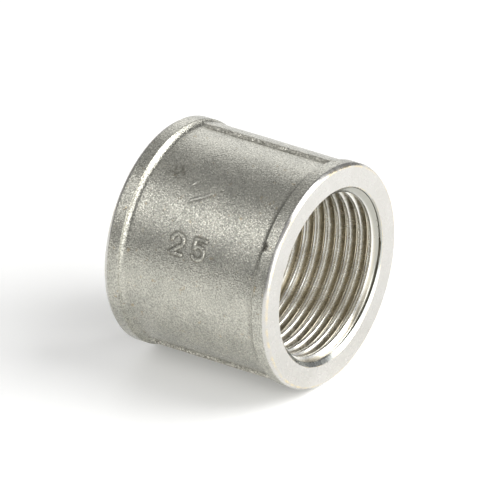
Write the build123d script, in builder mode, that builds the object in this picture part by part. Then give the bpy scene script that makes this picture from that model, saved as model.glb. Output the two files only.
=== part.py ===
"""Pipe coupling, G 1 (DN 25): a short brass socket with a female thread right through it.

The socket is one hot-stamped forging, turned at both ends and tapped. Its axis lies along X and its
origin is its centre, half way between the two mouths. Lengths are in millimetres.
"""

import os
from math import ceil, cos, radians, sin, sqrt, tan

from build123d import *
from build123d.topology import SkipClean

# Outside
LENGTH = 35.0
BAND_DIAMETER = 42.0
BARREL_DIAMETER = 40.0
BAND_WIDTH = 3.4  # from the end face to the middle of the band's rounded shoulder
BAND_CROWN_RADIUS = 0.4  # round on the band's inner edge; the fillet at its foot takes the rest
FACE_CHAMFER_RADIAL = 0.5
FACE_CHAMFER_AXIAL = 0.7

# G 1 parallel pipe thread: 11 turns to the inch, 55 degree Whitworth form, right-hand
THREAD_PITCH = 25.4 / 11
THREAD_MAJOR_DIAMETER = 33.249
THREAD_FORM_ANGLE = 55.0
THREAD_START_ANGLE = 270.0  # where the groove crosses the middle of the socket, from +Y towards +Z
TAP_DRILL_DIAMETER = 30.75  # the crests are what the drilled hole leaves
PIERCED_DIAMETER = 28.0  # the hole stamped through the forging, which the drill opens out
BORE_FACES = 4  # the drilled wall is kept as quarter rounds, so no crest is one endless face
MOUTH_DIAMETER = 33.4  # countersink, where it meets the end face
MOUTH_ANGLE = 90.0
CREST_CLEARANCE = 0.2  # how far inside the crests the groove's cutter is open

# Ribs left along the parting line of the two stamping dies
RIB_COUNT = 2
RIB_ANGLE = 65.0  # from +Y towards +Z; the other rib is opposite
RIB_HEIGHT = 0.6
RIB_TOP_WIDTH = 6.3
RIB_FLANK_WIDTH = 0.8
ROOTING = 1.0  # how far a rib or a raised digit reaches into the wall under it

# Raised nominal size, "25", half way round the barrel from one rib to the other
MARK_ANGLE = RIB_ANGLE + 90.0
MARK_X = -1.1
MARK_RELIEF = 0.25
DIGIT_HEIGHT = 4.2
DIGIT_WIDTH = 3.0
DIGIT_STROKE = 0.6
DIGIT_SPACING = 4.6  # from one digit's middle to the next
BOWL_OPENING = 35.0  # angle by which a digit's round bowl stops short of, or passes, level

# Worked out from the sizes above
half_length = LENGTH / 2
band_radius = BAND_DIAMETER / 2
barrel_radius = BARREL_DIAMETER / 2
crest_radius = TAP_DRILL_DIAMETER / 2
mouth_radius = MOUTH_DIAMETER / 2
pierced_radius = PIERCED_DIAMETER / 2
mouth_depth = (mouth_radius - pierced_radius) / tan(radians(MOUTH_ANGLE / 2))
band_step = band_radius - barrel_radius
shoulder_top = half_length - BAND_WIDTH + band_step / 2
shoulder_foot = shoulder_top - band_step
rib_radius = barrel_radius + RIB_HEIGHT
rib_half_top = RIB_TOP_WIDTH / 2
rib_half_foot = rib_half_top + RIB_FLANK_WIDTH
root_radius = barrel_radius - ROOTING

# The groove's section: flanks at the form angle, a round root and an open mouth below the crests
form_half_angle = THREAD_FORM_ANGLE / 2
groove_root_round = 0.137329 * THREAD_PITCH
groove_depth = 0.640327 * THREAD_PITCH
major_radius = THREAD_MAJOR_DIAMETER / 2
pitch_radius = major_radius - groove_depth / 2
root_centre = major_radius - groove_root_round
flank_top = root_centre + groove_root_round * sin(radians(form_half_angle))
flank_top_half = groove_root_round * cos(radians(form_half_angle))
groove_mouth = crest_radius - CREST_CLEARANCE
groove_mouth_half = THREAD_PITCH / 4 + (pitch_radius - groove_mouth) * tan(radians(form_half_angle))
turns_each_side = ceil(half_length / THREAD_PITCH) + 1

# The mark's stroke lines
digit_half_width = (DIGIT_WIDTH - DIGIT_STROKE) / 2
digit_half_height = (DIGIT_HEIGHT - DIGIT_STROKE) / 2
bowl_centre = digit_half_height - digit_half_width
two_x = -DIGIT_SPACING / 2
five_x = DIGIT_SPACING / 2
mark_direction = (0, cos(radians(MARK_ANGLE)), sin(radians(MARK_ANGLE)))
mark_origin = (MARK_X, root_radius * mark_direction[1], root_radius * mark_direction[2])

# One turn of the thread's groove, swept along its helix, on Z until it is placed
with BuildPart() as groove_turn:
    with BuildLine() as helix:
        Helix(THREAD_PITCH, THREAD_PITCH, pitch_radius)
    with BuildSketch(Plane.XZ):
        with BuildLine():
            lower_flank = Line((groove_mouth, -groove_mouth_half), (flank_top, -flank_top_half))
            root = ThreePointArc(lower_flank @ 1, (major_radius, 0), (flank_top, flank_top_half))
            upper_flank = Line(root @ 1, (groove_mouth, groove_mouth_half))
            Line(upper_flank @ 1, lower_flank @ 0)
        make_face()
    sweep(path=helix.line, is_frenet=True, clean=False)

# A quarter of the drilled hole, on Z until it is placed
with BuildPart() as drill_quarter:
    Cylinder(
        crest_radius,
        LENGTH,
        arc_size=360 / BORE_FACES,
        align=(Align.NONE, Align.NONE, Align.CENTER),
    )

# The mark's digits, drawn flat, then cut to a curve that stands MARK_RELIEF above the barrel
with BuildPart() as size_mark:
    with BuildSketch(Plane(origin=mark_origin, x_dir=(1, 0, 0), z_dir=mark_direction)):
        with BuildLine():
            hook = CenterArc((two_x, bowl_centre), digit_half_width, 180, -180 - BOWL_OPENING)
            diagonal = Line(hook @ 1, (two_x - digit_half_width, -digit_half_height))
            Line(diagonal @ 1, (two_x + digit_half_width, -digit_half_height))
        trace(line_width=DIGIT_STROKE)
        with BuildLine():
            bowl = CenterArc(
                (five_x, -bowl_centre),
                digit_half_width,
                180 - BOWL_OPENING,
                -360 + 2 * BOWL_OPENING,
            )
            stem = Line(bowl @ 0, ((bowl @ 0).X, digit_half_height))
            Line(stem @ 1, (five_x + digit_half_width, digit_half_height))
        trace(line_width=DIGIT_STROKE)
    extrude(amount=band_radius - root_radius)
    with Locations(Rotation(0, 90, 0)):
        Cylinder(barrel_radius + MARK_RELIEF, LENGTH, mode=Mode.INTERSECT)

# The socket's wall, from the middle to one mouth, turned about the axis and mirrored
with BuildPart() as socket_body:
    with BuildSketch(Plane.XY):
        with BuildLine():
            barrel = Line((0, barrel_radius), (shoulder_foot, barrel_radius))
            foot = JernArc(barrel @ 1, (1, 0), band_step - BAND_CROWN_RADIUS, 90)
            crown = JernArc(foot @ 1, (0, 1), BAND_CROWN_RADIUS, -90)
            Polyline(
                crown @ 1,
                (half_length - FACE_CHAMFER_AXIAL, band_radius),
                (half_length, band_radius - FACE_CHAMFER_RADIAL),
                (half_length, mouth_radius),
                (half_length - mouth_depth, pierced_radius),
                (0, pierced_radius),
                (0, barrel_radius),
            )
        make_face()
    revolve(axis=Axis.X)
    mirror(about=Plane.YZ)

    # Ribs along the parting line, from one band's shoulder to the other's
    with BuildSketch(Plane.YZ.offset(-shoulder_top)):
        with PolarLocations(0, RIB_COUNT, RIB_ANGLE):
            Polygon(
                (root_radius, -rib_half_foot),
                (root_radius, rib_half_foot),
                (sqrt(barrel_radius**2 - rib_half_foot**2), rib_half_foot),
                (sqrt(rib_radius**2 - rib_half_top**2), rib_half_top),
                (band_radius, rib_half_top),
                (band_radius, -rib_half_top),
                (sqrt(rib_radius**2 - rib_half_top**2), -rib_half_top),
                (sqrt(barrel_radius**2 - rib_half_foot**2), -rib_half_foot),
                align=None,
            )
        Circle(rib_radius, mode=Mode.INTERSECT)
    extrude(amount=2 * shoulder_top)

    # The size mark
    add(size_mark.part)

    # The drilled hole, then the thread, turn after turn from beyond one mouth to beyond the other
    with SkipClean():
        with Locations(Plane.YZ), PolarLocations(0, BORE_FACES):
            add(drill_quarter.part, clean=False, mode=Mode.SUBTRACT)
        with Locations(
            [Plane.YZ.offset(turn * THREAD_PITCH) for turn in range(-turns_each_side, turns_each_side)]
        ):
            add(
                groove_turn.part,
                rotation=(0, 0, THREAD_START_ANGLE),
                clean=False,
                mode=Mode.SUBTRACT,
            )

socket_body.part.label = "socket_body"
os.makedirs("parts", exist_ok=True)
export_step(socket_body.part, "parts/socket_body.step")
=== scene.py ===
import math

import bmesh
import bpy
import numpy as np
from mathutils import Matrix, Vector, noise


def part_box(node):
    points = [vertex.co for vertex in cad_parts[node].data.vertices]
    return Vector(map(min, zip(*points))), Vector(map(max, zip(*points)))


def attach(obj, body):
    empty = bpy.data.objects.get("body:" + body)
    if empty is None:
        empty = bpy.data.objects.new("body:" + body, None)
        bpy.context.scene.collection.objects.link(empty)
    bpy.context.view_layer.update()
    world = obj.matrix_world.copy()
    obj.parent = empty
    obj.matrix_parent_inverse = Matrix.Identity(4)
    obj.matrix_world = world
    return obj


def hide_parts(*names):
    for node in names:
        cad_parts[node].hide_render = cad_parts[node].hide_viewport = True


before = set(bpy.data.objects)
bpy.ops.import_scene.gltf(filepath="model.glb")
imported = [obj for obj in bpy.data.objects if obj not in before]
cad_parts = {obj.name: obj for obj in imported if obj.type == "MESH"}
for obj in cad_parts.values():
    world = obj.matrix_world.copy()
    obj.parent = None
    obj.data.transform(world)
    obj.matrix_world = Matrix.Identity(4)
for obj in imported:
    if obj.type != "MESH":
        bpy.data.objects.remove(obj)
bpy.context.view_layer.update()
MM = 0.001


# The socket's forged outside.
# One hot brass billet, stamped between two dies: a barrel, a raised band round each mouth, a rib
# left along each side of the die joint, and the raised size mark. It is shot-blasted afterwards.

_, socket_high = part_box("socket_body")
half_length = socket_high.x / MM
band_radius = socket_high.z / MM
band_step = 1.0  # how far the bands stand out from the barrel
barrel_radius = band_radius - band_step
band_land = 2.9  # from the end face to where the band starts to fall away
shoulder_slope = math.radians(72.0)
crown_radius = 0.2
foot_radius = band_step / (1 - math.cos(shoulder_slope)) - crown_radius
shoulder_foot = half_length - band_land - (foot_radius + crown_radius) * math.sin(shoulder_slope)
chamfer_radial = 0.5
chamfer_axial = 0.7

rib_angle = math.radians(65.0)
rib_height = 0.6
rib_half_top = 3.15
rib_flank = 0.8
tear_depth = 0.045  # on the flanks, where the trimming press tore the metal
rib_foot_depth = 0.07

mark_angle = rib_angle + math.pi / 2
mark_x = -1.1
mark_relief = 0.25
digit_stroke = 0.52
digit_edge_start = 0.12  # how far outside the stroke a digit's side begins
digit_edge = 0.22  # how wide that side is
digit_half_width = 1.2
digit_half_height = 1.8
digit_spacing = 4.6
bowl_opening = math.radians(35.0)


def ease(value):
    """0 to 1 with a soft start and a soft end."""
    t = np.clip(value, 0.0, 1.0)
    return t * t * (3.0 - 2.0 * t)


def arc_points(centre, radius, start, turn, count=14):
    angles = start + turn * np.linspace(0.0, 1.0, count)
    return [(centre[0] + radius * math.cos(a), centre[1] + radius * math.sin(a)) for a in angles]


def distance_to_line(x, y, points):
    """How far each (x, y) is from a line through points."""
    nearest = np.full(np.shape(x), 1e9)
    for (ax, ay), (bx, by) in zip(points, points[1:]):
        run_x, run_y = bx - ax, by - ay
        share = np.clip(((x - ax) * run_x + (y - ay) * run_y) / (run_x**2 + run_y**2), 0.0, 1.0)
        nearest = np.minimum(nearest, np.hypot(x - ax - share * run_x, y - ay - share * run_y))
    return nearest


bowl_centre = digit_half_height - digit_half_width
two_x, five_x = -digit_spacing / 2, digit_spacing / 2
two = arc_points((two_x, bowl_centre), digit_half_width, math.pi, -math.pi - bowl_opening)
two += [(two_x - digit_half_width, -digit_half_height), (two_x + digit_half_width, -digit_half_height)]
five = arc_points(
    (five_x, -bowl_centre),
    digit_half_width,
    -math.pi + bowl_opening,
    2 * (math.pi - bowl_opening),
)
five += [(five[-1][0], digit_half_height), (five_x + digit_half_width, digit_half_height)]

# Folds in the skin where hot metal lapped over itself, as (x, degrees round the barrel) and a width
laps = (
    (((-5.5, 125.7), (-4.9, 123.4), (-4.2, 120.5)), 0.10),
    (((-4.0, 132.8), (-2.9, 130.4), (-1.6, 128.4), (-0.3, 124.9)), 0.15),
)
lap_height = 0.17
lap_fade = 0.6  # length over which a lap dies out at each end
# How far to each side of a lap its lip and its crease lie, in widths
lip_side, crease_side = -0.5, 0.9
# Dents from other forgings in the barrel of parts: x, degrees, radius of the dent, its depth
dents = (
    (14.5, 142.8, 0.40, 0.22),
    (14.45, 144.6, 0.45, 0.24),
    (4.9, 105.8, 0.22, 0.08),
    (1.1, 121.9, 0.20, 0.07),
)
# Forging scale that the blasting left, high on the barrel: x, degrees, half its length, half its width
scale_patch = (-9.0, 118.0, 2.0, 1.5)


def spread(stops):
    """Places along a line: each stop is (end, spacing up to it), from the first stop's end."""
    places = [stops[0][0]]
    for end, spacing in stops[1:]:
        steps = max(1, round((end - places[-1]) / spacing))
        places += list(np.linspace(places[-1], end, steps + 1)[1:])
    return np.array(places)


# Round the skin, close together at the ribs' flanks, the laps and the mark
FINE, COARSE = 0.36, 1.5
turn_stops = [(52.0, 0), (57.5, FINE), (72.5, 1.0), (78.0, FINE), (119.0, COARSE)]
turn_stops += [(134.0, FINE), (145.0, 0.7), (163.5, FINE), (232.0, COARSE), (237.5, FINE)]
turn_stops += [(252.5, COARSE), (258.0, FINE), (412.0, COARSE)]
skin_angles = np.radians(spread(turn_stops)[:-1])

# Along the skin, from one end face to the other
edge_round = 0.08
chamfer_slope = math.atan2(chamfer_radial, chamfer_axial)
barrel_stops = [(-shoulder_foot, 0), (-11.5, 0.5), (-6.6, 0.25), (4.4, 0.17), (shoulder_foot, 0.4)]
skin_line = [(x, barrel_radius) for x in spread(barrel_stops)]
bend = np.linspace(0.0, shoulder_slope, 9)
shoulder = [
    (shoulder_foot + foot_radius * math.sin(a), barrel_radius + foot_radius * (1 - math.cos(a)))
    for a in bend[1:]
]
shoulder_top = half_length - band_land
shoulder += [
    (shoulder_top - crown_radius * math.sin(a), band_radius - crown_radius * (1 - math.cos(a)))
    for a in reversed(bend[:-1])
]
land_end = half_length - chamfer_axial
shoulder += [(x, band_radius) for x in spread([(shoulder_top, 0), (land_end - edge_round, 0.35)])[1:]]
cut = [
    (land_end + edge_round * math.cos(chamfer_slope), band_radius - edge_round * math.sin(chamfer_slope)),
    (half_length - chamfer_axial / 2, band_radius - chamfer_radial / 2),
    (
        half_length - edge_round * math.cos(chamfer_slope),
        band_radius - chamfer_radial + edge_round * math.sin(chamfer_slope),
    ),
    (half_length, band_radius - chamfer_radial - edge_round),
    (half_length, band_radius - chamfer_radial - 2 * edge_round),
]
near_end = shoulder + cut
skin_line = [(-x, r) for x, r in reversed(near_end)] + skin_line + near_end
cut_rows = len(cut)


def down_the_rib(x, angle):
    """How far down its sheared flank each place is: 0 at the top's edge, 1 at the foot."""
    round_the_rib = (angle - rib_angle + math.pi / 2) % math.pi - math.pi / 2
    wander = 0.05 * np.sin(1.3 * x + 1.0) + 0.03 * np.sin(3.7 * x)
    return (np.abs(round_the_rib) * barrel_radius - rib_half_top + wander) / rib_flank


def rib_foot(x, angle):
    return np.exp(-(((down_the_rib(x, angle) - 1.08) / 0.16) ** 2))


def rib_shape(x, angle):
    down = down_the_rib(x, angle)
    flank = np.clip(down, 0.0, 1.0)
    on_flank = ease(6.0 * flank) * ease(6.0 * (1.0 - flank))
    tear = np.sin(14.0 * x + 2.5 * np.sin(2.1 * x)) + 0.6 * np.sin(23.0 * x + 1.7)
    torn_flank = rib_height * (1.0 - flank) + tear_depth * tear * on_flank
    return torn_flank - rib_foot_depth * rib_foot(x, angle)


def beside_laps(x, angle, side):
    """How close each place is to a line beside a lap, from 0 to 1, where side is in the lap's widths."""
    arc = math.radians(1.0) * barrel_radius
    near = []
    for points, width in laps:
        line = [(px, degrees * arc + side * width) for px, degrees in points]
        fade = ease((x - points[0][0]) / lap_fade + 0.5) * ease((points[-1][0] - x) / lap_fade + 0.5)
        off = distance_to_line(x, angle * barrel_radius, line)
        near.append(fade * np.exp(-((off / width) ** 2)))
    return np.maximum.reduce(near)


def lap_shape(x, angle):
    """A thin lip of metal with a crease along its lower side."""
    return lap_height * (beside_laps(x, angle, lip_side) - 0.7 * beside_laps(x, angle, crease_side))


def dent_shape(x, angle):
    depth = np.zeros(np.shape(x))
    for dent_x, degrees, radius, deep in dents:
        off = np.hypot(x - dent_x, (angle - math.radians(degrees)) * barrel_radius)
        depth += deep * np.exp(-((off / radius) ** 2))
    return depth


def uneven(points, size, seed):
    """Smooth noise from -1 to 1 at each point, whose bumps are about size across."""
    shift = Vector((seed, 2.0 * seed, -seed))
    return np.array([noise.noise(Vector(p) / size + shift) for p in points])


skin_rows, skin_columns = len(skin_line), len(skin_angles)
x = np.repeat([p[0] for p in skin_line], skin_columns)
radius = np.repeat([p[1] for p in skin_line], skin_columns)
angle = np.tile(skin_angles, skin_rows)
forged = np.abs(x) < land_end - 2 * edge_round
mark_across = x - mark_x
mark_up = (mark_angle - angle) * barrel_radius
from_stroke = np.minimum(
    distance_to_line(mark_across, mark_up, two), distance_to_line(mark_across, mark_up, five)
)
skin_radius = np.maximum(radius, barrel_radius + rib_shape(x, angle))
skin_radius += mark_relief * ease((digit_stroke / 2 + digit_edge_start - from_stroke) / digit_edge)
skin_radius += lap_shape(x, angle) - dent_shape(x, angle)
on_axis = np.stack([x, skin_radius * np.cos(angle), skin_radius * np.sin(angle)], axis=1)
ripple = 0.022 * uneven(on_axis, 3.2, 4.0) + 0.010 * uneven(on_axis, 1.1, 9.0)
flash_patch = np.exp(-(((angle - math.radians(69.0)) / math.radians(9.0)) ** 2)) * (x > shoulder_top)
ripple += 0.05 * flash_patch * uneven(on_axis, 0.5, 17.0)
skin_radius = np.where(forged, np.minimum(skin_radius + ripple, band_radius), skin_radius)
skin_points = np.stack([x, skin_radius * np.cos(angle), skin_radius * np.sin(angle)], axis=1)

# Painted shade at the feet of digits, ribs and bands, in lap creases and in dents; also the real dark
# flash patch and old forging scale
painted_shade_and_scale = np.exp(-(((from_stroke - digit_stroke / 2 - 0.18) / 0.13) ** 2))
painted_shade_and_scale = np.maximum(painted_shade_and_scale, 0.35 * np.exp(-(((x - shoulder_foot - 0.15) / 0.25) ** 2)))
painted_shade_and_scale = np.maximum(painted_shade_and_scale, rib_foot(x, angle) * (np.abs(x) < shoulder_foot))
painted_shade_and_scale = np.maximum(painted_shade_and_scale, 0.6 * beside_laps(x, angle, crease_side))
painted_shade_and_scale = np.maximum(painted_shade_and_scale, np.clip(12.0 * dent_shape(x, angle), 0.0, 1.0))
painted_shade_and_scale = np.maximum(painted_shade_and_scale, flash_patch * np.clip(0.5 + 1.2 * uneven(on_axis, 0.9, 23.0), 0.0, 0.8))

patch_x, patch_degrees, patch_length, patch_width = scale_patch
along_patch = (x - patch_x) / patch_length
across_patch = (angle - math.radians(patch_degrees)) * barrel_radius / patch_width
patch = np.exp(-(along_patch**2) - across_patch**2)
painted_shade_and_scale = np.maximum(painted_shade_and_scale, patch * np.clip(0.7 + 1.6 * uneven(on_axis, 0.6, 31.0), 0.0, 1.0))

# Where the trimming press sheared the flash off, along the ribs' flanks
down_flank = down_the_rib(x, angle)
sheared = ease(5.0 * down_flank) * ease(5.0 * (1.0 - down_flank)) * (np.abs(x) < shoulder_foot)
# Painted highlight: a bright line along each lap's lip
lap_lip_highlight = 0.7 * beside_laps(x, angle, lip_side)


# The socket's bore.
# Drilled, countersunk at both mouths, then tapped right through in one pass with a G 1 tap:
# eleven turns to the inch, 55 degree flanks and rounded roots. The crests are the drilled hole.

pitch = 25.4 / 11
major_radius = 33.249 / 2
crest_radius = 30.75 / 2
mouth_radius = 16.7
form_half_angle = math.radians(55.0 / 2)
root_round = 0.137329 * pitch
pitch_radius = major_radius - 0.640327 * pitch / 2
root_half = root_round * math.cos(form_half_angle)
crest_start = pitch / 4 + (pitch_radius - crest_radius) * math.tan(form_half_angle)
thread_start = 270.0  # degrees from +Y towards +Z, where the groove crosses the socket's middle
edge_wear_depth = 0.035  # how far each crest's edge is rounded away
edge_wear_width = 0.09
bore_columns = 144


def thread_radius(offset):
    """The groove's radius at a distance along the axis from the middle of its root."""
    off = np.abs((offset + pitch / 2) % pitch - pitch / 2)
    root = major_radius - root_round + np.sqrt(np.maximum(root_round**2 - off**2, 0.0))
    flank = pitch_radius + (pitch / 4 - off) / math.tan(form_half_angle)
    edge_wear = edge_wear_depth * np.exp(-(((off - crest_start) / edge_wear_width) ** 2))
    return np.maximum(np.where(off < root_half, root, flank), crest_radius) + edge_wear


# Rows across one side of the groove, from the middle of its root to the middle of the crest
one_side = [0.0, 0.5 * root_half, root_half, 0.55, 0.76, crest_start, crest_start + 0.1, 1.0]
turn_rows = np.array([-v for v in reversed(one_side[1:])] + one_side + [pitch / 2])
rows_per_turn = len(turn_rows)
first_turn = -math.ceil(half_length / pitch) - 1
turns = 2 * -first_turn + 1
row_places = np.concatenate([turn_rows + pitch * (first_turn + k) for k in range(turns)])
bore_angles = 2 * math.pi * np.arange(bore_columns) / bore_columns


# The socket as one piece of metal.
# Skin, turned ends and bore share their edges, so the forging is one closed mesh. Each face is
# marked with the finish it has: blasted, turned or tapped.

builder = bmesh.new()
painted_shade_and_scale_layer = builder.verts.layers.float.new("painted_shade_and_scale")
sheared_layer = builder.verts.layers.float.new("sheared")
lap_lip_highlight_layer = builder.verts.layers.float.new("lap_lip_highlight")
SKIN, TURNED, TAPPED = 0, 1, 2


def add_vertex(x_mm, radius_mm, at_angle):
    return builder.verts.new(
        (x_mm * MM, radius_mm * math.cos(at_angle) * MM, radius_mm * math.sin(at_angle) * MM)
    )


def add_face(corners, material):
    distinct = [v for n, v in enumerate(corners) if v is not corners[n - 1]]
    if len(distinct) > 2:
        builder.faces.new(distinct).material_index = material


skin = [builder.verts.new(p * MM) for p in skin_points]
for vertex, shade, torn, lip_highlight in zip(skin, painted_shade_and_scale, sheared, lap_lip_highlight):
    vertex[painted_shade_and_scale_layer] = shade
    vertex[sheared_layer] = torn
    vertex[lap_lip_highlight_layer] = lip_highlight
for row in range(skin_rows - 1):
    machined = row < cut_rows or row >= skin_rows - cut_rows - 1
    for column in range(skin_columns):
        beside = (column + 1) % skin_columns
        corners = (
            skin[row * skin_columns + column],
            skin[row * skin_columns + beside],
            skin[(row + 1) * skin_columns + beside],
            skin[(row + 1) * skin_columns + column],
        )
        add_face(corners, TURNED if machined else SKIN)

mouth_rings = {
    side: [add_vertex(side * half_length, mouth_radius, a) for a in bore_angles] for side in (-1, 1)
}
bore = {}
cone_vertices = set(mouth_rings[-1] + mouth_rings[1])
for row, along in enumerate(row_places):
    for column in range(bore_columns):
        at_angle = bore_angles[column]
        bore_x = along + pitch * (at_angle - math.radians(thread_start)) / (2 * math.pi)
        if abs(bore_x) >= half_length:
            bore[row, column] = mouth_rings[1 if bore_x > 0 else -1][column]
        else:
            cone = mouth_radius - (half_length - abs(bore_x))
            cut_radius = max(float(thread_radius(along)), cone)
            bore[row, column] = add_vertex(bore_x, cut_radius, at_angle)
            if cut_radius == cone:
                cone_vertices.add(bore[row, column])
    bore[row - rows_per_turn, bore_columns] = bore[row, 0]
last_row = len(row_places) - 1
for row in range(last_row - rows_per_turn + 1, last_row + 1):
    bore[row, bore_columns] = mouth_rings[1][0]
for row in range(last_row):
    for column in range(bore_columns):
        corners = (
            bore[row, column],
            bore[row + 1, column],
            bore[row + 1, column + 1],
            bore[row, column + 1],
        )
        in_cone = all(v in cone_vertices for v in corners)
        add_face(corners, TURNED if in_cone else TAPPED)


def bridge(inner, inner_angles, outer, outer_angles):
    """Triangles on an end face between the mouth's ring and the skin's ring."""
    inner_turn = np.append(inner_angles, inner_angles[0] + 2 * math.pi)
    shifted = (outer_angles - inner_angles[0]) % (2 * math.pi) + inner_angles[0]
    order = np.argsort(shifted)
    outer_turn = np.append(shifted[order], shifted[order[0]] + 2 * math.pi)
    outer_ring = [outer[n] for n in order]
    near, far = 0, 0
    while near < len(inner) or far < len(outer_ring):
        a, b = inner[near % len(inner)], outer_ring[far % len(outer_ring)]
        take_inner = far >= len(outer_ring) or (
            near < len(inner) and inner_turn[near + 1] < outer_turn[far + 1]
        )
        if take_inner:
            near += 1
            add_face((a, b, inner[near % len(inner)]), TURNED)
        else:
            far += 1
            add_face((a, b, outer_ring[far % len(outer_ring)]), TURNED)


bridge(mouth_rings[-1], bore_angles, skin[:skin_columns], skin_angles)
bridge(mouth_rings[1], bore_angles, skin[-skin_columns:], skin_angles)
bmesh.ops.recalc_face_normals(builder, faces=builder.faces)
socket_mesh = bpy.data.meshes.new("coupling_socket")
builder.to_mesh(socket_mesh)
builder.free()
socket_mesh.shade_smooth()
socket_mesh.set_sharp_from_angle(angle=math.radians(33.0))
socket = bpy.data.objects.new("coupling_socket", socket_mesh)
bpy.context.scene.collection.objects.link(socket)


# The metal's finish.
# A few micrometres of nickel over brass. It is grey and sparkling on the blasted skin, bright on the
# turned ends, and warmer in the thread and along edges, where the plating is thin. Painted shade
# darkens the grooves and the skin's crevices, and painted highlights and glints light the laps' lips
# and the ribs' flanks.


def shader_group(name, inputs, outputs):
    group = bpy.data.node_groups.new(name, "ShaderNodeTree")
    for label, kind, default in inputs:
        socket_in = group.interface.new_socket(label, in_out="INPUT", socket_type="NodeSocket" + kind)
        if default is not None:
            socket_in.default_value = default
    for label, kind in outputs:
        group.interface.new_socket(label, in_out="OUTPUT", socket_type="NodeSocket" + kind)
    return group, group.nodes.new("NodeGroupInput"), group.nodes.new("NodeGroupOutput")


def place(tree, kind, links=(), **settings):
    """Adds a node, sets its properties, then links or sets its inputs by name or number."""
    node = tree.nodes.new("ShaderNode" + kind)
    for key, value in settings.items():
        setattr(node, key, value)
    for key, value in dict(links).items():
        if isinstance(value, bpy.types.NodeSocket):
            tree.links.new(value, node.inputs[key])
        else:
            node.inputs[key].default_value = value
    return node


def sums(tree, operation, *values):
    return place(tree, "Math", enumerate(values), operation=operation).outputs[0]


def steps_to(tree, value, low, high, to_low=0.0, to_high=1.0):
    links = {"Value": value, "From Min": low, "From Max": high, "To Min": to_low, "To Max": to_high}
    node = place(tree, "MapRange", links, clamp=True)
    node.interpolation_type = "SMOOTHSTEP"
    return node.outputs["Result"]


def grain(tree, position, size, detail=2.0, roughness=0.5):
    links = {"Vector": position, "Scale": 1.0 / size, "Detail": detail, "Roughness": roughness}
    return place(tree, "TexNoise", links).outputs["Fac"]


def mixed(tree, share, first, second):
    node = place(tree, "Mix", data_type="RGBA")
    for slot, value in ((0, share), (6, first), (7, second)):
        if isinstance(value, bpy.types.NodeSocket):
            tree.links.new(value, node.inputs[slot])
        else:
            node.inputs[slot].default_value = value
    return node.outputs[2]


# Slow clouds of lighter and darker plating, for every surface
plating_cloud, cloud_in, cloud_out = shader_group(
    "plating_cloud",
    [
        ("Position", "Vector", None),
        ("Bright", "Color", (0.7, 0.7, 0.66, 1.0)),
        ("Dull", "Color", (0.5, 0.5, 0.45, 1.0)),
        ("Cloud Size", "Float", 5.0),
    ],
    [("Colour", "Color")],
)
cloud_size = sums(plating_cloud, "DIVIDE", 1.0, cloud_in.outputs["Cloud Size"])
cloud_noise = place(
    plating_cloud,
    "TexNoise",
    {"Vector": cloud_in.outputs["Position"], "Scale": cloud_size, "Detail": 3.0, "Roughness": 0.6},
)
cloud = steps_to(plating_cloud, cloud_noise.outputs["Fac"], 0.3, 0.7)
cloud_colour = mixed(plating_cloud, cloud, cloud_in.outputs["Dull"], cloud_in.outputs["Bright"])
plating_cloud.links.new(cloud_colour, cloud_out.inputs["Colour"])

# Small stains and pits, for the blasted skin
stain_spots, spots_in, spots_out = shader_group(
    "stain_spots",
    [("Position", "Vector", None), ("Spot Size", "Float", 1.5), ("Rarity", "Float", 0.68)],
    [("Stain", "Float")],
)
spot_scale = sums(stain_spots, "DIVIDE", 1.0, spots_in.outputs["Spot Size"])
spot_noise = place(
    stain_spots,
    "TexNoise",
    {"Vector": spots_in.outputs["Position"], "Scale": spot_scale, "Detail": 2.0, "Roughness": 0.7},
)
rarity_top = sums(stain_spots, "ADD", spots_in.outputs["Rarity"], 0.1)
stain = steps_to(stain_spots, spot_noise.outputs["Fac"], spots_in.outputs["Rarity"], rarity_top)
stain_spots.links.new(stain, spots_out.inputs["Stain"])

# Fine rings that a cutting tool leaves round the axis, for the turned ends and the thread
tool_rings, rings_in, rings_out = shader_group(
    "tool_rings",
    [("Position", "Vector", None), ("Feed", "Float", 0.12), ("Chatter", "Float", 0.5)],
    [("Height", "Float"), ("Radius", "Float")],
)
rings_apart = place(tool_rings, "SeparateXYZ", {"Vector": rings_in.outputs["Position"]})
across_squared = sums(tool_rings, "MULTIPLY", rings_apart.outputs["Y"], rings_apart.outputs["Y"])
up_squared = sums(tool_rings, "MULTIPLY", rings_apart.outputs["Z"], rings_apart.outputs["Z"])
ring_radius = sums(tool_rings, "SQRT", sums(tool_rings, "ADD", across_squared, up_squared))
ring_turns = sums(tool_rings, "DIVIDE", ring_radius, rings_in.outputs["Feed"])
ring_chatter = grain(tool_rings, rings_in.outputs["Position"], 1.2, 3.0)
ring_shift = sums(tool_rings, "MULTIPLY", ring_chatter, rings_in.outputs["Chatter"])
ring_phase = sums(tool_rings, "MULTIPLY", sums(tool_rings, "ADD", ring_turns, ring_shift), 2 * math.pi)
tool_rings.links.new(sums(tool_rings, "SINE", ring_phase), rings_out.inputs["Height"])
tool_rings.links.new(ring_radius, rings_out.inputs["Radius"])

# Brass showing through along a round edge, for the outer and the inner edge of the turned ends
edge_brass, brass_in, brass_out = shader_group(
    "edge_brass",
    [
        ("Position", "Vector", None),
        ("Radius", "Float", None),
        ("Edge", "Float", 20.5),
        ("Width", "Float", 0.15),
    ],
    [("Wear", "Float")],
)
from_edge = sums(
    edge_brass,
    "ABSOLUTE",
    sums(edge_brass, "SUBTRACT", brass_in.outputs["Radius"], brass_in.outputs["Edge"]),
)
widths_off = sums(edge_brass, "DIVIDE", from_edge, brass_in.outputs["Width"])
near_edge = sums(edge_brass, "SUBTRACT", 1.0, widths_off)
ragged = steps_to(edge_brass, grain(edge_brass, brass_in.outputs["Position"], 1.6, 4.0, 0.6), 0.35, 0.7)
wear = sums(edge_brass, "MULTIPLY", steps_to(edge_brass, near_edge, 0.0, 0.8), ragged)
edge_brass.links.new(wear, brass_out.inputs["Wear"])


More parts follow.
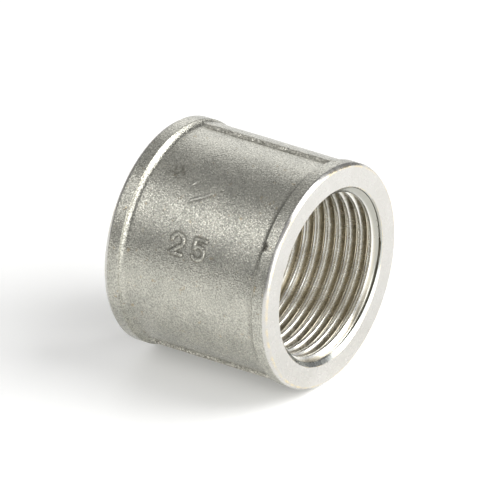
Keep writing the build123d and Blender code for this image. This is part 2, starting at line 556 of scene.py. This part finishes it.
def metal(name, roughness):
    """A metal with its own Principled shader and a position in millimetres."""
    material = bpy.data.materials.new(name)
    material.use_nodes = True
    tree = material.node_tree
    shader = tree.nodes["Principled BSDF"]
    shader.inputs["Metallic"].default_value = 1.0
    shader.inputs["Roughness"].default_value = roughness
    position = place(
        tree,
        "VectorMath",
        {0: place(tree, "TexCoord").outputs["Object"], 1: (1 / MM, 1 / MM, 1 / MM)},
        operation="MULTIPLY",
    ).outputs[0]
    return material, tree, shader, position


def group_node(tree, group, **inputs):
    node = tree.nodes.new("ShaderNodeGroup")
    node.node_tree = group
    for key, value in inputs.items():
        label = key.replace("_", " ")
        if isinstance(value, bpy.types.NodeSocket):
            tree.links.new(value, node.inputs[label])
        else:
            node.inputs[label].default_value = value
    return node


def bumped(tree, height, depth_mm):
    links = {"Height": height, "Distance": depth_mm * MM, "Strength": 1.0}
    return place(tree, "Bump", links).outputs["Normal"]


# Shot-blasted nickel: overlapping dimples that sparkle, a slow cloudiness, brown stains and pits
blasted, tree, shader, position = metal("blasted_nickel", 0.30)
cloud_node = group_node(
    tree,
    plating_cloud,
    Position=position,
    Bright=(0.53, 0.52, 0.46, 1.0),
    Dull=(0.45, 0.445, 0.395, 1.0),
    Cloud_Size=5.0,
)
stain_node = group_node(tree, stain_spots, Position=position, Spot_Size=1.4, Rarity=0.64)
stained = mixed(
    tree,
    sums(tree, "MULTIPLY", stain_node.outputs["Stain"], 0.5),
    cloud_node.outputs["Colour"],
    (0.40, 0.30, 0.16, 1.0),
)
# Painted shade from the mesh's layer: crevices, lap creases and dents darkened, with the dark flash patch
# and scale mixed in
painted_shade_and_scale_node = place(tree, "Attribute", attribute_name="painted_shade_and_scale")
shaded = mixed(
    tree,
    sums(tree, "MULTIPLY", painted_shade_and_scale_node.outputs["Fac"], 0.8),
    stained,
    (0.15, 0.14, 0.11, 1.0),
)
# The sheared rib flanks: real torn metal, painted lighter, with a high-contrast grain of painted glints
sheared_node = place(tree, "Attribute", attribute_name="sheared")
flank_glint_grain = steps_to(tree, grain(tree, position, 0.34, 2.0, 0.6), 0.38, 0.62)
torn_metal_and_painted_glints = mixed(tree, flank_glint_grain, (0.34, 0.33, 0.28, 1.0), (0.78, 0.76, 0.69, 1.0))
skin_with_flank_glints = mixed(tree, sheared_node.outputs["Fac"], shaded, torn_metal_and_painted_glints)
# Painted highlight along the laps' lips in a near-white colour; the same mask also roughens them
lap_lip_highlight_node = place(tree, "Attribute", attribute_name="lap_lip_highlight")
with_lip_highlight = mixed(tree, lap_lip_highlight_node.outputs["Fac"], skin_with_flank_glints, (0.95, 0.93, 0.86, 1.0))
dimples = place(tree, "TexVoronoi", {"Vector": position, "Scale": 3.6, "Randomness": 1.0})
shot_marks = grain(tree, position, 0.28, 2.0, 0.6)
speckle = steps_to(tree, grain(tree, position, 0.27, 2.0, 0.6), 0.34, 0.66, 0.70, 1.26)
tree.links.new(
    place(tree, "VectorMath", {0: with_lip_highlight, 1: speckle}, operation="MULTIPLY").outputs[0],
    shader.inputs["Base Color"],
)
skin_height = sums(tree, "ADD", shot_marks, sums(tree, "MULTIPLY", dimples.outputs["Distance"], 0.3))
tree.links.new(bumped(tree, skin_height, 0.078), shader.inputs["Normal"])
skin_roughness = steps_to(tree, grain(tree, position, 0.5, 2.0), 0.3, 0.7, 0.18, 0.30)
rough_spots = sums(tree, "MAXIMUM", sheared_node.outputs["Fac"], lap_lip_highlight_node.outputs["Fac"])
torn_roughness = sums(tree, "MULTIPLY", rough_spots, 0.3)
tree.links.new(sums(tree, "ADD", skin_roughness, torn_roughness), shader.inputs["Roughness"])

# Turned nickel: bright, with fine rings from the lathe tool and brass along the edges
turned, tree, shader, position = metal("turned_nickel", 0.24)
cloud_node = group_node(
    tree,
    plating_cloud,
    Position=position,
    Bright=(0.63, 0.618, 0.592, 1.0),
    Dull=(0.60, 0.588, 0.556, 1.0),
    Cloud_Size=6.0,
)
rings_node = group_node(tree, tool_rings, Position=position, Feed=0.42, Chatter=0.4)
outer_wear = group_node(
    tree,
    edge_brass,
    Position=position,
    Radius=rings_node.outputs["Radius"],
    Edge=band_radius - chamfer_radial,
    Width=0.3,
)
inner_wear = group_node(
    tree,
    edge_brass,
    Position=position,
    Radius=rings_node.outputs["Radius"],
    Edge=mouth_radius,
    Width=0.1,
)
worn = sums(tree, "MAXIMUM", outer_wear.outputs["Wear"], inner_wear.outputs["Wear"])
in_mouth = steps_to(tree, rings_node.outputs["Radius"], mouth_radius - 0.15, mouth_radius, 0.6, 0.0)
ends_and_mouths = mixed(tree, in_mouth, cloud_node.outputs["Colour"], (0.36, 0.39, 0.375, 1.0))
tree.links.new(
    mixed(tree, sums(tree, "MULTIPLY", worn, 0.6), ends_and_mouths, (0.83, 0.68, 0.38, 1.0)),
    shader.inputs["Base Color"],
)
tree.links.new(bumped(tree, rings_node.outputs["Height"], 0.0018), shader.inputs["Normal"])
tree.links.new(
    steps_to(tree, grain(tree, position, 1.5, 3.0), 0.3, 0.7, 0.20, 0.32), shader.inputs["Roughness"]
)

# Tapped nickel: bright crests, warm brown in the grooves, where little plating reaches, darkened
# there with painted shade, and grey where the groove runs out through the mouth
tapped, tree, shader, position = metal("tapped_nickel", 0.22)
rings_node = group_node(tree, tool_rings, Position=position, Feed=0.2, Chatter=0.15)
cloud_node = group_node(
    tree,
    plating_cloud,
    Position=position,
    Bright=(0.92, 0.915, 0.88, 1.0),
    Dull=(0.87, 0.86, 0.81, 1.0),
    Cloud_Size=3.0,
)
# Painted shade: the colour turns darker brown deeper in the groove
depth_in_groove = steps_to(tree, rings_node.outputs["Radius"], crest_radius + 0.08, crest_radius + 0.7)
groove_brass_and_shade = mixed(
    tree,
    sums(tree, "MULTIPLY", depth_in_groove, 0.9),
    cloud_node.outputs["Colour"],
    (0.58, 0.53, 0.42, 1.0),
)
from_middle = sums(tree, "ABSOLUTE", place(tree, "SeparateXYZ", {"Vector": position}).outputs["X"])
by_the_mouth = steps_to(tree, from_middle, half_length - 1.6, half_length - 1.1, 0.0, 0.9)
tree.links.new(
    mixed(tree, by_the_mouth, groove_brass_and_shade, (0.40, 0.40, 0.365, 1.0)), shader.inputs["Base Color"]
)
tree.links.new(bumped(tree, rings_node.outputs["Height"], 0.0003), shader.inputs["Normal"])
tree.links.new(
    steps_to(tree, grain(tree, position, 1.6, 2.0), 0.3, 0.7, 0.20, 0.28), shader.inputs["Roughness"]
)

for finish in (blasted, turned, tapped):
    socket_mesh.materials.append(finish)
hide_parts("socket_body")
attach(socket, "root")


# The studio.
# A pale floor, soft boxes round the object, and a long lens from a little above. The boxes light
# narrow bands of the barrel, so each has its own size and power.

towards_camera = Vector((0.4990, -0.7377, 0.4548)).normalized()
floor_size = 3.0
floor_mesh = bpy.data.meshes.new("floor")
corner = floor_size / 2
floor_z = -band_radius * MM
floor_mesh.from_pydata(
    [(east * corner, north * corner, floor_z) for east, north in ((-1, -1), (1, -1), (1, 1), (-1, 1))],
    [],
    [(0, 1, 2, 3)],
)
floor = bpy.data.objects.new("floor", floor_mesh)
bpy.context.scene.collection.objects.link(floor)
paper = bpy.data.materials.new("pale_floor")
paper.use_nodes = True
paper_shader = paper.node_tree.nodes["Principled BSDF"]
paper_shader.inputs["Base Color"].default_value = (0.90, 0.90, 0.89, 1.0)
paper_shader.inputs["Roughness"].default_value = 0.9
paper_shader.inputs["Emission Color"].default_value = (1.0, 1.0, 1.0, 1.0)
paper_shader.inputs["Emission Strength"].default_value = 0.2
floor_mesh.materials.append(paper)

world = bpy.data.worlds.new("studio")
bpy.context.scene.world = world
world.use_nodes = True
world.node_tree.nodes["Background"].inputs["Color"].default_value = (1.0, 1.0, 1.0, 1.0)
world.node_tree.nodes["Background"].inputs["Strength"].default_value = 0.29

# Each soft box: its name, the direction it stands in, how far off, its size and its power
soft_boxes = (
    ("key_box", (-0.50, -0.53, 0.68), 0.7, 0.25, 0.54),
    ("low_back_box", (-0.50, 0.83, 0.24), 0.7, 0.25, 0.24),
    ("back_box", (-0.50, 0.66, 0.56), 0.7, 0.30, 0.285),
    ("top_box", (-0.45, 0.00, 0.89), 0.7, 0.30, 0.09),
    ("front_box", (-0.50, -0.75, 0.43), 0.7, 0.25, 0.14),
    ("right_box", (0.87, -0.42, 0.27), 0.7, 0.50, 2.1),
    ("wide_right_box", (0.80, -0.50, 0.30), 0.7, 0.90, 0.5),
    ("rear_right_box", (0.80, 0.50, 0.35), 0.7, 0.40, 2.1),
    ("high_right_box", (0.60, 0.25, 0.75), 0.7, 0.50, 3.2),
)
for name, direction, distance, size, power in soft_boxes:
    lamp = bpy.data.lights.new(name, "AREA")
    lamp.shape = "SQUARE"
    lamp.size = size
    lamp.energy = power
    box = bpy.data.objects.new(name, lamp)
    outward = Vector(direction).normalized()
    box.location = outward * distance
    box.rotation_euler = outward.to_track_quat("Z", "Y").to_euler()
    bpy.context.scene.collection.objects.link(box)

view_width = 0.0896
camera_distance = 2.0
camera_rise = 0.00039
camera_data = bpy.data.cameras.new("camera")
camera_data.lens = camera_data.sensor_width * camera_distance / view_width
camera_data.clip_end = 10.0
camera = bpy.data.objects.new("camera", camera_data)
bpy.context.scene.collection.objects.link(camera)
camera.rotation_euler = towards_camera.to_track_quat("Z", "Y").to_euler()
camera_up = camera.rotation_euler.to_matrix() @ Vector((0, 1, 0))
camera.location = towards_camera * camera_distance + camera_up * camera_rise
bpy.context.scene.camera = camera
bpy.context.scene.view_settings.view_transform = "Standard"
